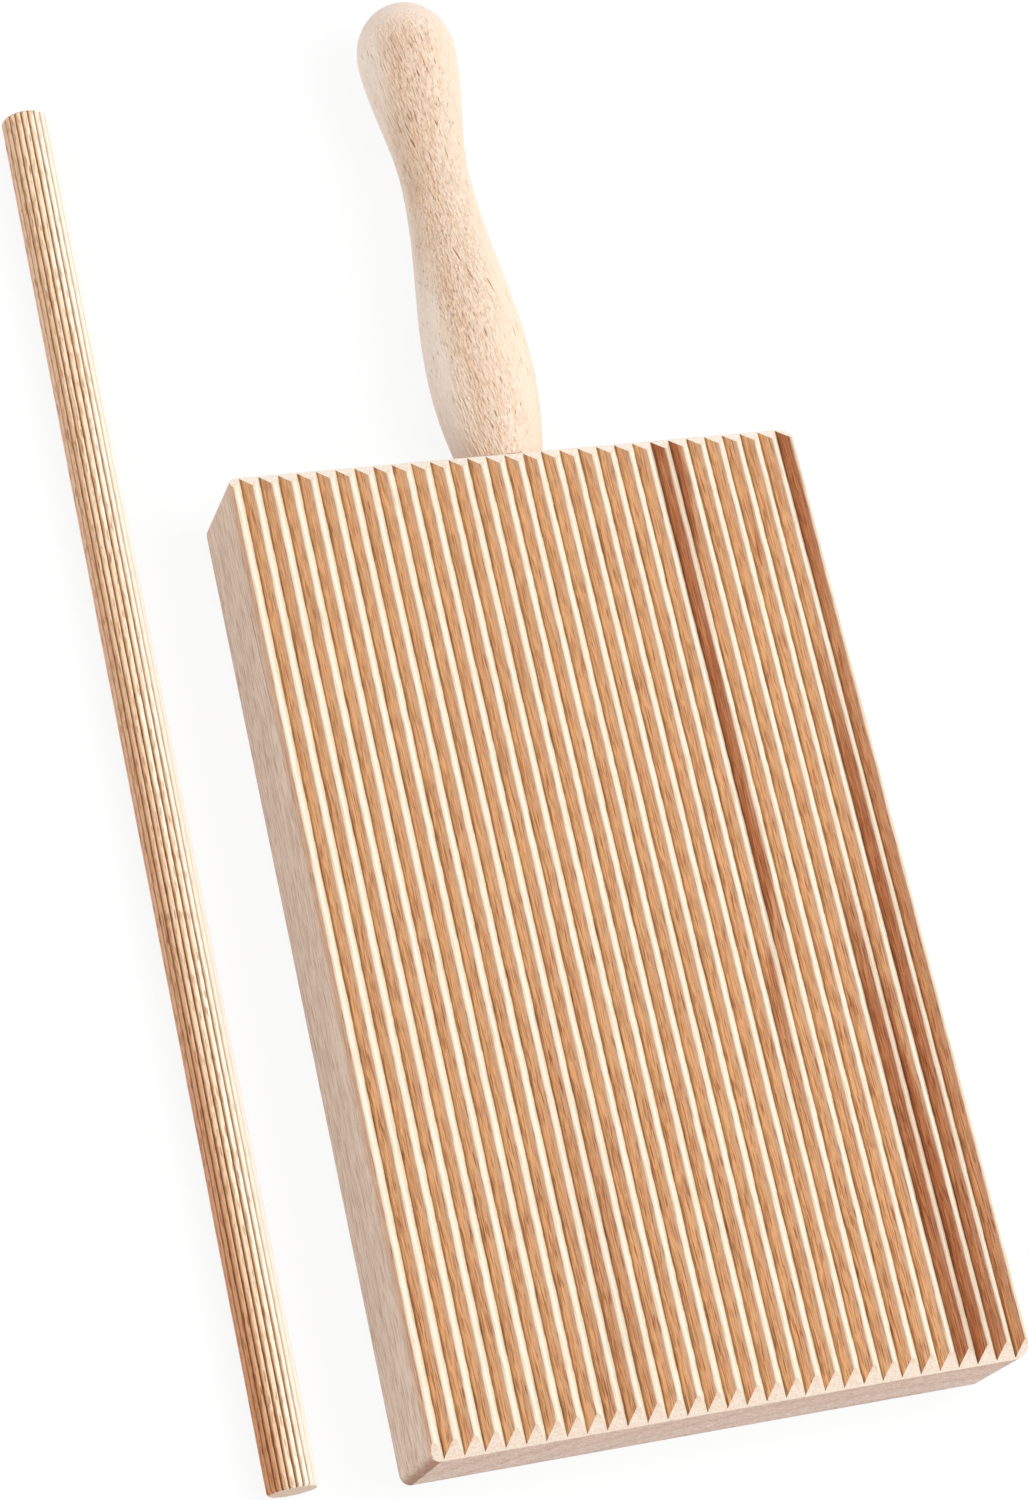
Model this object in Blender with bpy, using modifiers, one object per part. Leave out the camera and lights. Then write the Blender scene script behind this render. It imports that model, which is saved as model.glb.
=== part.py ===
"""Garganelli board: a ridged beech board with a turned handle, and its loose fluted stick.

Units are metres. X runs across the ridges, Y along them towards the handle, Z up.
The origin is the centre of the board's underside, which rests on the table.
"""
import math

import bmesh
import bpy
from mathutils import Matrix

MM = 0.001

# Ridged board
GROOVE_COUNT = 30
GROOVE_PITCH = 4.0 * MM
GROOVE_ANGLE = math.radians(60)
CREST_RADIUS = 0.55 * MM
SIDE_FLAT = 0.1 * MM
SIDE_EDGE_RADIUS = 0.4 * MM
BOARD_LENGTH = 199.0 * MM
BOARD_THICKNESS = 27.0 * MM
END_BEVEL_BELOW_GROOVES = 0.3 * MM
CORNER_RADIUS = 2.2 * MM
UNDERSIDE_EDGE_RADIUS = 0.8 * MM

# Turned handle, measured from the board's end face
HANDLE_RISE = 1.5 * MM
HANDLE_OFFSET = 0.4 * MM
FOOT_RADIUS = 8.4 * MM
BULGE_RADIUS = 11.1 * MM
BULGE_DISTANCE = 22.1 * MM
WAIST_RADIUS = 7.35 * MM
BULGE_TO_WAIST = 46.3 * MM
KNOB_RADIUS = 10.6 * MM
WAIST_TO_KNOB = 30.3 * MM
KNOB_TIP = 11.9 * MM
TENON_RADIUS = 5.0 * MM
TENON_LENGTH = 24.0 * MM
TENON_CHAMFER = 0.8 * MM

# Loose stick
STICK_RADIUS = 5.0 * MM
STICK_LENGTH = 291.0 * MM
STICK_CHAMFER = 0.5 * MM
FLUTE_COUNT = 22
FLUTE_DEPTH = 0.28 * MM
TOP_RIB_SHIFT = 0.2
STICK_TO_BOARD = 16.7 * MM
STICK_SETBACK = 2.1 * MM

# Clearance between pieces that touch
SEAT_GAP = 0.3 * MM

# How finely round shapes are divided
CREST_STEPS = 4
SIDE_EDGE_STEPS = 4
CORNER_STEPS = 5
UNDERSIDE_EDGE_STEPS = 2
TURNED_STEPS = 40
PROFILE_STEPS = 9
RIB_STEPS = 4

# How far a cutter reaches past the surface that it cuts
CUTTER_REACH = 3.0 * MM

# Sizes that follow from the ones above
HALF_GROOVE_ANGLE = GROOVE_ANGLE / 2
SHARP_GROOVE_DEPTH = GROOVE_PITCH / 2 / math.tan(HALF_GROOVE_ANGLE)
GROOVE_DEPTH = SHARP_GROOVE_DEPTH - CREST_RADIUS * (1 / math.sin(HALF_GROOVE_ANGLE) - 1)
RIDGED_WIDTH = GROOVE_COUNT * GROOVE_PITCH
BOARD_WIDTH = RIDGED_WIDTH + 2 * (SIDE_FLAT + SIDE_EDGE_RADIUS)
END_BEVEL = GROOVE_DEPTH + END_BEVEL_BELOW_GROOVES
HANDLE_HEIGHT = BOARD_THICKNESS / 2 + HANDLE_RISE
WAIST_DISTANCE = BULGE_DISTANCE + BULGE_TO_WAIST
KNOB_DISTANCE = WAIST_DISTANCE + WAIST_TO_KNOB
SOCKET_RADIUS = TENON_RADIUS + SEAT_GAP
SOCKET_DEPTH = TENON_LENGTH + SEAT_GAP
STICK_X = -BOARD_WIDTH / 2 - STICK_TO_BOARD - STICK_RADIUS
STICK_Y = -BOARD_LENGTH / 2 + STICK_SETBACK + STICK_LENGTH / 2


def clear_scene():
    """Remove whatever objects the scene starts with."""
    for obj in list(bpy.data.objects):
        bpy.data.objects.remove(obj, do_unlink=True)


def make_collection(name):
    """Return a new collection linked to the scene."""
    collection = bpy.data.collections.new(name)
    bpy.context.scene.collection.children.link(collection)
    return collection


def make_material(name, colour, roughness):
    """Return a plain wood material."""
    material = bpy.data.materials.new(name)
    material.use_nodes = True
    shader = material.node_tree.nodes["Principled BSDF"]
    shader.inputs["Base Color"].default_value = (*colour, 1.0)
    shader.inputs["Roughness"].default_value = roughness
    shader.inputs["Metallic"].default_value = 0.0
    material.diffuse_color = (*colour, 1.0)
    return material


def add_object(name, mesh, collection):
    """Return a new object that holds the mesh, in the collection."""
    obj = bpy.data.objects.new(name, mesh)
    collection.objects.link(obj)
    return obj


def mesh_from_bmesh(name, bm):
    """Turn a bmesh into a mesh and free it."""
    mesh = bpy.data.meshes.new(name)
    bm.to_mesh(mesh)
    bm.free()
    return mesh


def extruded_outline(name, outline, depth, collection):
    """Return a solid whose flat outline lies in its local XY plane, centred on local Z."""
    curve = bpy.data.curves.new(name + "_outline", "CURVE")
    curve.dimensions = "2D"
    curve.fill_mode = "BOTH"
    curve.extrude = depth / 2
    spline = curve.splines.new("POLY")
    spline.points.add(len(outline) - 1)
    for point, (x, y) in zip(spline.points, outline):
        point.co = (x, y, 0, 1)
    spline.use_cyclic_u = True
    flat = add_object(name + "_outline", curve, collection)
    depsgraph = bpy.context.evaluated_depsgraph_get()
    mesh = bpy.data.meshes.new_from_object(flat.evaluated_get(depsgraph))
    bpy.data.objects.remove(flat, do_unlink=True)
    bm = bmesh.new()
    bm.from_mesh(mesh)
    bpy.data.meshes.remove(mesh)
    bmesh.ops.remove_doubles(bm, verts=bm.verts, dist=MM / 1000)
    bmesh.ops.recalc_face_normals(bm, faces=bm.faces)
    return add_object(name, mesh_from_bmesh(name, bm), collection)


def turned_solid(name, profile, collection):
    """Return a solid turned about its local Z; the profile of (radius, z) runs top to bottom."""
    mesh = bpy.data.meshes.new(name)
    points = [(radius, 0, z) for radius, z in profile]
    edges = [(i, i + 1) for i in range(len(points) - 1)]
    mesh.from_pydata(points, edges, [])
    obj = add_object(name, mesh, collection)
    screw = obj.modifiers.new("Turn", "SCREW")
    screw.steps = TURNED_STEPS
    screw.render_steps = TURNED_STEPS
    screw.use_merge_vertices = True
    screw.merge_threshold = 0.00001
    screw.use_normal_calculate = True
    return obj


def boolean(target, cutter, operation):
    """Cut the target with the cutter, or keep only what lies inside it."""
    modifier = target.modifiers.new(cutter.name, "BOOLEAN")
    modifier.operation = operation
    modifier.solver = "EXACT"
    modifier.object = cutter
    cutter.hide_render = True
    cutter.display_type = "WIRE"


def arc(centre_x, centre_y, radius, start, end, steps):
    """Return points along an arc, both ends included."""
    angles = [start + (end - start) * i / steps for i in range(steps + 1)]
    return [(centre_x + radius * math.cos(a), centre_y + radius * math.sin(a)) for a in angles]


def crest_top(index):
    """Return the X of a ridge's crest, counted from the left side."""
    return -RIDGED_WIDTH / 2 + index * GROOVE_PITCH


def right_side_edge():
    """Return the outline's last stretch: the board's rounded edge, carried on past its side."""
    centre_x = BOARD_WIDTH / 2 - SIDE_EDGE_RADIUS
    centre_z = BOARD_THICKNESS - SIDE_EDGE_RADIUS
    last_angle = math.radians(20)
    edge = arc(centre_x, centre_z, SIDE_EDGE_RADIUS, math.pi / 2, last_angle, SIDE_EDGE_STEPS)
    end_x, end_z = edge[-1]
    past_x = end_x + CUTTER_REACH * math.sin(last_angle)
    past_z = end_z - CUTTER_REACH * math.cos(last_angle)
    edge.append((past_x, past_z))
    return edge


def ridge_outline():
    """Return the (x, z) outline of the air above the ridges, left to right along the wood."""
    right_edge = right_side_edge()
    points = [(-x, z) for x, z in reversed(right_edge)]
    crest_centre_z = BOARD_THICKNESS - CREST_RADIUS
    left_slope = math.pi - HALF_GROOVE_ANGLE
    right_slope = HALF_GROOVE_ANGLE
    for index in range(GROOVE_COUNT):
        crest_end = arc(
            crest_top(index), crest_centre_z, CREST_RADIUS, math.pi / 2, right_slope, CREST_STEPS // 2
        )
        floor = (crest_top(index) + GROOVE_PITCH / 2, BOARD_THICKNESS - GROOVE_DEPTH)
        crest_start = arc(
            crest_top(index + 1), crest_centre_z, CREST_RADIUS, left_slope, math.pi / 2, CREST_STEPS // 2
        )
        points += crest_end + [floor] + crest_start[:-1]
    points.append((crest_top(GROOVE_COUNT), BOARD_THICKNESS))
    points += right_edge
    top = BOARD_THICKNESS + 2 * CUTTER_REACH
    points.append((points[-1][0], top))
    points.append((points[0][0], top))
    return points


def groove_cutter(collection):
    """Return the solid that leaves the ridges standing."""
    depth = BOARD_LENGTH + 2 * CUTTER_REACH
    cutter = extruded_outline("groove_cutter", ridge_outline(), depth, collection)
    cutter.rotation_euler = (math.pi / 2, 0, 0)
    return cutter


def end_bevel_cutter(name, turn, collection):
    """Return the wedge that bevels the ridge ends at 45 degrees at one end of the board."""
    foot_y = -BOARD_LENGTH / 2 - CUTTER_REACH
    foot_z = BOARD_THICKNESS - END_BEVEL - CUTTER_REACH
    rise = END_BEVEL + 3 * CUTTER_REACH
    outline = [(foot_y, foot_z), (foot_y + rise, foot_z + rise), (foot_y, foot_z + rise)]
    cutter = extruded_outline(name, outline, BOARD_WIDTH + 2 * CUTTER_REACH, collection)
    cutter.rotation_euler = (math.pi / 2, 0, turn)
    return cutter


def socket_cutter(collection):
    """Return the cylinder that drills the handle's blind socket in the far end face."""
    bm = bmesh.new()
    bmesh.ops.create_cone(
        bm,
        cap_ends=True,
        segments=TURNED_STEPS,
        radius1=SOCKET_RADIUS,
        radius2=SOCKET_RADIUS,
        depth=SOCKET_DEPTH + CUTTER_REACH,
    )
    cutter = add_object("socket_cutter", mesh_from_bmesh("socket_cutter", bm), collection)
    cutter.rotation_euler = (-math.pi / 2, 0, 0)
    middle_y = BOARD_LENGTH / 2 + (CUTTER_REACH - SOCKET_DEPTH) / 2
    cutter.location = (HANDLE_OFFSET, middle_y, HANDLE_HEIGHT)
    return cutter


def board_blank(name, collection):
    """Return the board before its top is cut: a block with rounded corners and lower edges."""
    height = BOARD_THICKNESS + CUTTER_REACH
    bm = bmesh.new()
    bmesh.ops.create_cube(bm, size=1.0)
    bmesh.ops.scale(bm, vec=(BOARD_WIDTH, BOARD_LENGTH, height), verts=bm.verts)
    bmesh.ops.translate(bm, vec=(0, 0, height / 2), verts=bm.verts)
    upright = [e for e in bm.edges if abs(e.verts[0].co.z - e.verts[1].co.z) > height / 2]
    bmesh.ops.bevel(
        bm,
        geom=upright,
        offset=CORNER_RADIUS,
        segments=CORNER_STEPS,
        profile=0.5,
        affect="EDGES",
    )
    lower = [e for e in bm.edges if max(v.co.z for v in e.verts) < height / 2]
    bmesh.ops.bevel(
        bm,
        geom=lower,
        offset=UNDERSIDE_EDGE_RADIUS,
        segments=UNDERSIDE_EDGE_STEPS,
        profile=0.5,
        affect="EDGES",
    )
    return add_object(name, mesh_from_bmesh(name, bm), collection)


def make_board(parts, cutters):
    """Build the ridged board with its bevelled ridge ends and the handle's socket."""
    board = board_blank("ridged_board", parts)
    boolean(board, groove_cutter(cutters), "DIFFERENCE")
    boolean(board, end_bevel_cutter("near_bevel_cutter", math.pi / 2, cutters), "DIFFERENCE")
    boolean(board, end_bevel_cutter("far_bevel_cutter", -math.pi / 2, cutters), "DIFFERENCE")
    boolean(board, socket_cutter(cutters), "DIFFERENCE")
    board.data.materials.append(make_material("pale_beech", (0.83, 0.66, 0.47), 0.6))
    return board


def half_wave(start, end, share):
    """Return a value that swings smoothly from start to end as share runs from 0 to 1."""
    return (start + end) / 2 + (start - end) / 2 * math.cos(math.pi * share)


def handle_profile():
    """Return (radius, distance from the board's end face), from the knob's tip to the tenon's."""
    shares = [i / PROFILE_STEPS for i in range(PROFILE_STEPS)]
    knob = []
    for share in shares:
        angle = math.pi / 2 * (1 - share)
        knob.append((KNOB_RADIUS * math.cos(angle), KNOB_DISTANCE + KNOB_TIP * math.sin(angle)))
    neck = []
    for share in shares:
        radius = half_wave(KNOB_RADIUS, WAIST_RADIUS, share)
        neck.append((radius, KNOB_DISTANCE - WAIST_TO_KNOB * share))
    grip = []
    for share in shares:
        radius = half_wave(WAIST_RADIUS, BULGE_RADIUS, share)
        grip.append((radius, WAIST_DISTANCE - BULGE_TO_WAIST * share))
    foot = []
    foot_length = BULGE_DISTANCE - SEAT_GAP
    for share in shares + [1.0]:
        swell = math.cos(math.pi / 2 * share)
        radius = FOOT_RADIUS + (BULGE_RADIUS - FOOT_RADIUS) * swell
        foot.append((radius, BULGE_DISTANCE - foot_length * share))
    tenon = [
        (TENON_RADIUS, SEAT_GAP),
        (TENON_RADIUS, TENON_CHAMFER - TENON_LENGTH),
        (TENON_RADIUS - TENON_CHAMFER, -TENON_LENGTH),
        (0, -TENON_LENGTH),
    ]
    return knob + neck + grip + foot + tenon


def make_handle(parts):
    """Build the turned handle with the tenon that sits in the board's end."""
    handle = turned_solid("handle", handle_profile(), parts)
    handle.rotation_euler = (-math.pi / 2, 0, 0)
    handle.location = (HANDLE_OFFSET, BOARD_LENGTH / 2, HANDLE_HEIGHT)
    handle.data.materials.append(make_material("handle_beech", (0.86, 0.71, 0.55), 0.5))
    return handle


def flute_outline():
    """Return the stick's section: round ribs side by side, with a sharp notch between them.

    The rib nearest to the top is turned towards the board by a share of a rib.
    """
    notch_radius = STICK_RADIUS - FLUTE_DEPTH
    half_step = math.pi / FLUTE_COUNT
    top = -math.pi / 2
    points = []
    for index in range(FLUTE_COUNT):
        middle = top + 2 * half_step * (index + TOP_RIB_SHIFT)
        for step in range(RIB_STEPS):
            share = 2 * step / RIB_STEPS - 1
            rib = math.sqrt(1 - share * share)
            radius = notch_radius + FLUTE_DEPTH * rib
            angle = middle + half_step * share
            points.append((radius * math.cos(angle), radius * math.sin(angle)))
    return points


def stick_envelope(collection):
    """Return the plain rod with chamfered ends that the fluted bar is turned down to."""
    half = STICK_LENGTH / 2
    end_radius = STICK_RADIUS - STICK_CHAMFER
    outer_radius = STICK_RADIUS + SEAT_GAP
    shoulder = half - (outer_radius - end_radius)
    profile = [
        (0, half),
        (end_radius, half),
        (outer_radius, shoulder),
        (outer_radius, -shoulder),
        (end_radius, -half),
        (0, -half),
    ]
    return turned_solid("stick_envelope", profile, collection)


def make_stick(parts, cutters):
    """Build the fluted stick, lying on the table beside the board."""
    fluted_length = STICK_LENGTH + 2 * CUTTER_REACH
    stick = extruded_outline("stick", flute_outline(), fluted_length, parts)
    envelope = stick_envelope(cutters)
    boolean(stick, envelope, "INTERSECT")
    place = Matrix.Translation((STICK_X, STICK_Y, STICK_RADIUS)) @ Matrix.Rotation(-math.pi / 2, 4, "X")
    stick.matrix_world = place
    envelope.matrix_world = place
    stick.data.materials.append(make_material("stick_beech", (0.80, 0.60, 0.40), 0.55))
    return stick


def main():
    clear_scene()
    parts = make_collection("garganelli_board")
    cutters = make_collection("cutters")
    make_board(parts, cutters)
    make_handle(parts)
    make_stick(parts, cutters)


main()
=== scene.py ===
"""Garganelli board: a ridged beech board with a turned handle, and its loose fluted stick.

Lengths are metres, in the frame of the CAD model: X across the ridges, Y along them towards the
handle, Z up, with the origin at the centre of the board's underside.
"""
import math

import bmesh
import bpy
from bpy.props import FloatProperty, FloatVectorProperty, IntProperty, PointerProperty
from bpy.types import Operator, Panel, PropertyGroup
from mathutils import Euler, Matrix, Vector


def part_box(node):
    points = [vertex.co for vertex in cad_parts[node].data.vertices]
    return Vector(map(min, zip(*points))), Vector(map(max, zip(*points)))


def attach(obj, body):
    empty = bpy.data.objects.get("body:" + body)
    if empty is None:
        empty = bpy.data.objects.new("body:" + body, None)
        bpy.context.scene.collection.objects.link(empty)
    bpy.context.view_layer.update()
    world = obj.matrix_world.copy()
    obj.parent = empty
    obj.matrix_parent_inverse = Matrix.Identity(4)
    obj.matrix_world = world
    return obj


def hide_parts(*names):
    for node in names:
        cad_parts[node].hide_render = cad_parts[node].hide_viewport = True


bl_info = {
    "name": "Garganelli board",
    "version": (1, 0, 0),
    "blender": (4, 5, 0),
    "location": "View3D > Sidebar > Garganelli",
    "description": "Builds a ridged beech pasta board, its turned handle and its fluted stick",
    "category": "Object",
}

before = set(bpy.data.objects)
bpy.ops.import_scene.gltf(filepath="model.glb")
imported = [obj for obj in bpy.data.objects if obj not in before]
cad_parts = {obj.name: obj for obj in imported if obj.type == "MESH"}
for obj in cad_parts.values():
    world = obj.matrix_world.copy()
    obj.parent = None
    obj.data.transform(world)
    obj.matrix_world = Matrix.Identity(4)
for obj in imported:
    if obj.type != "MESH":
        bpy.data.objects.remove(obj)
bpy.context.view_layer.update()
board_low, board_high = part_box("ridged_board")
handle_low, handle_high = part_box("handle")
stick_low, stick_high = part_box("stick")

# One millimetre, in metres
MM = 0.001

# Sizes and places of the CAD pieces
BOARD_LENGTH = board_high.y - board_low.y
BOARD_WIDTH = board_high.x - board_low.x
BOARD_THICKNESS = board_high.z
HANDLE_X = (handle_low.x + handle_high.x) / 2
HANDLE_Z = (handle_low.z + handle_high.z) / 2
HANDLE_REACH = handle_high.y - board_high.y
TENON_LENGTH = board_high.y - handle_low.y
STICK_X = (stick_low.x + stick_high.x) / 2
STICK_RADIUS = (stick_low.z + stick_high.z) / 2
STICK_LENGTH = stick_high.y - stick_low.y
STICK_MIDDLE = (stick_low.y + stick_high.y) / 2

# Room for glue round the handle's tenon and under its foot, and the chamfer at the tenon's end
GLUE_GAP = 0.3 * MM
TENON_CHAMFER = 0.8 * MM

# How far the ridge sheet and the blank reach past the board before they are trimmed to each other
SHEET_OVERHANG = 4 * MM
BLANK_HEADROOM = 3 * MM

# How finely the pieces are divided: steps round an edge, a piece or a rib, and parts along a piece
CREST_SEGMENTS = 8
CORNER_SEGMENTS = 12
LOWER_EDGE_SEGMENTS = 4
SHEET_ROWS = 90
SOCKET_SIDES = 64
HANDLE_SIDES = 96
GRIP_RINGS = 66
KNOB_RINGS = 18
RIB_POINTS = 10
STICK_PARTS = 96

# How strongly bare wood mirrors, and how much of the floor's look is plain white without shadow
WOOD_SHINE = 0.3
FLOOR_GLOW = 0.9

# The handle's plainest dark dashes: X, Y and half length in millimetres
DASHES = (
    (-1.9, 145.7, 2.0),
    (-0.3, 140.4, 1.7),
    (3.6, 137.8, 1.8),
    (-4.7, 174.1, 1.3),
    (-1.4, 188.5, 1.0),
    (0.6, 177.2, 0.8),
)
DASH_HALF_WIDTH = 0.15
DASH_SLANT = math.radians(14)
RIDGE_GRAIN_SLANT = math.radians(2)


def length(name, description, default):
    """Return a property for a length in metres."""
    return FloatProperty(
        name=name, description=description, default=default, min=0.0, unit="LENGTH", precision=5
    )


def degrees(name, description, default):
    """Return a property for an angle, whose default is given in degrees."""
    return FloatProperty(
        name=name, description=description, default=math.radians(default), unit="ROTATION"
    )


def power(name, description, default):
    """Return a property for a lamp's power in watts."""
    return FloatProperty(name=name, description=description, default=default, unit="POWER")


def colour(name, description, default):
    """Return a property for a wood colour, in linear light."""
    return FloatVectorProperty(
        name=name, description=description, default=default, min=0.0, max=1.0, subtype="COLOR"
    )


class BoardSizes(PropertyGroup):
    groove_count: IntProperty(
        name="Grooves", description="Number of grooves side by side", default=30, min=1
    )
    groove_pitch: length("Pitch", "Distance from one ridge to the next", 4.0 * MM)
    groove_angle: degrees("Groove angle", "Angle between a groove's two slopes", 60)
    crest_radius: length("Crest radius", "How round the ridges' tops are", 0.55 * MM)
    bevel_foot: length("Bevel foot", "How far the end bevels go below the grooves", 0.3 * MM)
    corner_radius: length("Corner radius", "Rounding of the upright corners", 2.2 * MM)
    lower_edge: length("Lower edge", "Rounding of the edges round the underside", 0.8 * MM)
    socket_radius: length("Socket radius", "Radius of the hole for the handle", 5.3 * MM)
    wander: length("Wander", "How far a ridge strays from its straight line", 0.07 * MM)


class HandleSizes(PropertyGroup):
    foot_radius: length("Foot", "Radius where the handle meets the board", 8.4 * MM)
    bulge_radius: length("Bulge", "Radius of the grip's bulge", 11.1 * MM)
    bulge_distance: length("Bulge from board", "Distance from the board to the bulge", 22.1 * MM)
    waist_radius: length("Waist", "Radius of the waist below the knob", 7.35 * MM)
    waist_distance: length("Waist from board", "Distance from the board to the waist", 68.4 * MM)
    knob_radius: length("Knob", "Radius of the knob", 10.6 * MM)
    knob_distance: length("Knob from board", "Distance from the board to the knob", 98.7 * MM)
    tenon_radius: length("Tenon", "Radius of the peg that sits in the board", 5.0 * MM)
    unevenness: length("Unevenness", "Depth of the dips left by hand sanding", 0.16 * MM)
    grain_slant: degrees("Grain slant", "How far the grain is turned from the handle's own axis", 9)


class StickSizes(PropertyGroup):
    flute_count: IntProperty(
        name="Flutes", description="Number of ribs round the stick", default=22, min=3
    )
    top_rib_shift: FloatProperty(
        name="Top rib",
        description="How far the top rib is turned towards the board, as a share of a rib",
        default=0.2,
    )
    flute_depth: length("Flute depth", "Depth of the notch between two ribs", 0.28 * MM)
    chamfer: length("Chamfer", "Size of the chamfer at both ends", 0.5 * MM)
    unevenness: length("Unevenness", "How much a rib's height varies", 0.1 * MM)


class BeechColours(PropertyGroup):
    crest: colour("Crests", "Ridge tops, rubbed pale", (0.79, 0.66, 0.51))
    # Painted light: the right slopes are the same beech as the left ones, painted near white where the
    # light falls on them
    right_slope_painted_lit: colour("Right slopes", "Slopes that face away from the stick", (0.98, 1.0, 0.855))
    # Painted shade: the left slopes and their darker fibres are the same beech, painted brown where they
    # lie in shade
    left_slope_painted_shade: colour("Left slopes", "Slopes that face the stick", (0.82, 0.463, 0.233))
    left_dark_painted_shade: colour("Left slopes, dark", "Darker fibres of these slopes", (0.59, 0.302, 0.15))
    shoulder: colour("Shoulders", "Soft line where a left slope nears its crest", (0.65, 0.40, 0.27))
    # Partly burnish, partly painted shade: the dark line at the bottom of each groove
    valley: colour("Valleys", "Tint of the dark line at the bottom of a groove", (0.47, 0.42, 0.36))
    heartwood: colour("Heartwood", "Tint of the reddish streaks", (0.60, 0.36, 0.245))
    fleck: colour("Flecks", "Tint of the short dark flecks", (0.48, 0.31, 0.20))
    end_grain: colour("End grain", "The board's two ends", (0.86, 0.66, 0.55))
    bevel: colour("Bevels", "Slanting ends of the ridges", (0.88, 0.75, 0.63))
    side: colour("Sides", "The board's sides and underside", (0.81, 0.64, 0.53))
    # A dark tint on the board's rounded near corners, darker than the faces on either side
    corner_dark_band: colour("Burnish", "Tint where the cutter rubbed a corner dark", (0.54, 0.39, 0.29))
    handle: colour("Handle", "The turned handle", (1.0, 0.81, 0.655))
    # Partly figure, partly painted shade: the tan along the handle's upper left
    handle_tan_figure_and_shade: colour("Handle, tan", "The darker figure along the handle", (0.86, 0.635, 0.475))
    # Painted light: the handle's left side is painted paler to make up for the little light it gets
    handle_left_painted_light: colour("Handle, left", "The handle's left side", (0.97, 0.84, 0.74))
    handle_tip: colour("Handle, tip", "The smooth tip of the knob", (0.93, 0.76, 0.65))
    # Painted light: the stick is one beech, painted pale on its side nearer the board where the light
    # falls
    stick_lit_side: colour("Stick, pale side", "The side nearer to the board", (0.97, 0.92, 0.79))
    # Painted highlight: the side that faces the board, painted near white
    stick_painted_highlight: colour("Stick, highlit side", "The side that faces the board", (1.0, 1.0, 0.97))
    stick_middle: colour("Stick, top", "The top of the stick", (0.93, 0.73, 0.52))
    # Painted shade: the side away from the board, painted brown
    stick_shaded_side: colour("Stick, dark side", "The side away from the board", (0.77, 0.505, 0.31))
    # Painted light: below the dark side, painted lighter where light from the table reaches it
    stick_low: colour("Stick, lower side", "Below its dark side, near the table", (0.90, 0.61, 0.42))
    stick_end: colour("Stick ends", "The sawn ends of the stick", (0.72, 0.54, 0.40))


class StageSettings(PropertyGroup):
    camera_place: FloatVectorProperty(
        name="Camera",
        description="Where the camera stands",
        default=(-0.24691, -0.19515, 0.68592),
        subtype="TRANSLATION",
    )
    azimuth: degrees("Azimuth", "Turn of the camera round the upright", -45.249)
    elevation: degrees("Elevation", "Height of the camera above the horizon", 63.648)
    roll: degrees("Roll", "Turn of the camera about its own line of sight", 35.499)
    focal_length: FloatProperty(
        name="Focal length",
        description="Focal length in millimetres",
        default=89.652,
        min=1.0,
        unit="CAMERA",
    )
    key_power: power("Key light", "Power of the lamp on the right, in watts", 6.1)
    top_power: power("Top light", "Power of the lamp overhead, in watts", 2.7)
    fill_power: power("Fill light", "Power of the soft lamp on the left, in watts", 3.0)
    room_light: FloatProperty(
        name="Room light", description="Brightness of the even light all round", default=0.55
    )


class GarganelliSettings(PropertyGroup):
    board: PointerProperty(name="Board", description="Sizes of the board", type=BoardSizes)
    handle: PointerProperty(name="Handle", description="Sizes of the handle", type=HandleSizes)
    stick: PointerProperty(name="Stick", description="Sizes of the stick", type=StickSizes)
    beech: PointerProperty(name="Beech", description="Colours of the wood", type=BeechColours)
    stage: PointerProperty(name="Stage", description="Light and camera", type=StageSettings)


def settings():
    """Return the sizes and colours that the panel shows."""
    return bpy.context.scene.garganelli


class Nodes:
    """Adds nodes to a tree, linking each to what feeds it."""

    def __init__(self, tree):
        self.tree = tree

    def feed(self, node, sockets):
        """Set a node's sockets to values, or link them to other nodes' outputs."""
        for key, value in sockets.items():
            if isinstance(value, bpy.types.NodeSocket):
                self.tree.links.new(value, node.inputs[key])
            else:
                node.inputs[key].default_value = value

    def add(self, kind, sockets=None, **options):
        """Add a node, set its options and feed its sockets."""
        node = self.tree.nodes.new(kind)
        for key, value in options.items():
            setattr(node, key, value)
        self.feed(node, sockets or {})
        return node

    def math(self, operation, *values):
        """Return the result of a Math node."""
        return self.add("ShaderNodeMath", dict(enumerate(values)), operation=operation).outputs[0]

    def times(self, first, *others):
        """Return the product of patterns and numbers."""
        for other in others:
            first = self.math("MULTIPLY", first, other)
        return first

    def most(self, first, *others):
        """Return the largest of several patterns."""
        for other in others:
            first = self.math("MAXIMUM", first, other)
        return first

    def shift(self, value, start, end, low, high):
        """Return low where value is start, high where it is end, and a straight line between them."""
        sockets = {"Value": value, "From Min": start, "From Max": end, "To Min": low, "To Max": high}
        return self.add("ShaderNodeMapRange", sockets).outputs[0]

    def seen(self):
        """Return 1 for the rays by which a surface is seen, and 0 for those it only lights by."""
        path = self.add("ShaderNodeLightPath").outputs
        return self.most(path["Is Camera Ray"], path["Is Glossy Ray"], path["Is Transmission Ray"])


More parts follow.
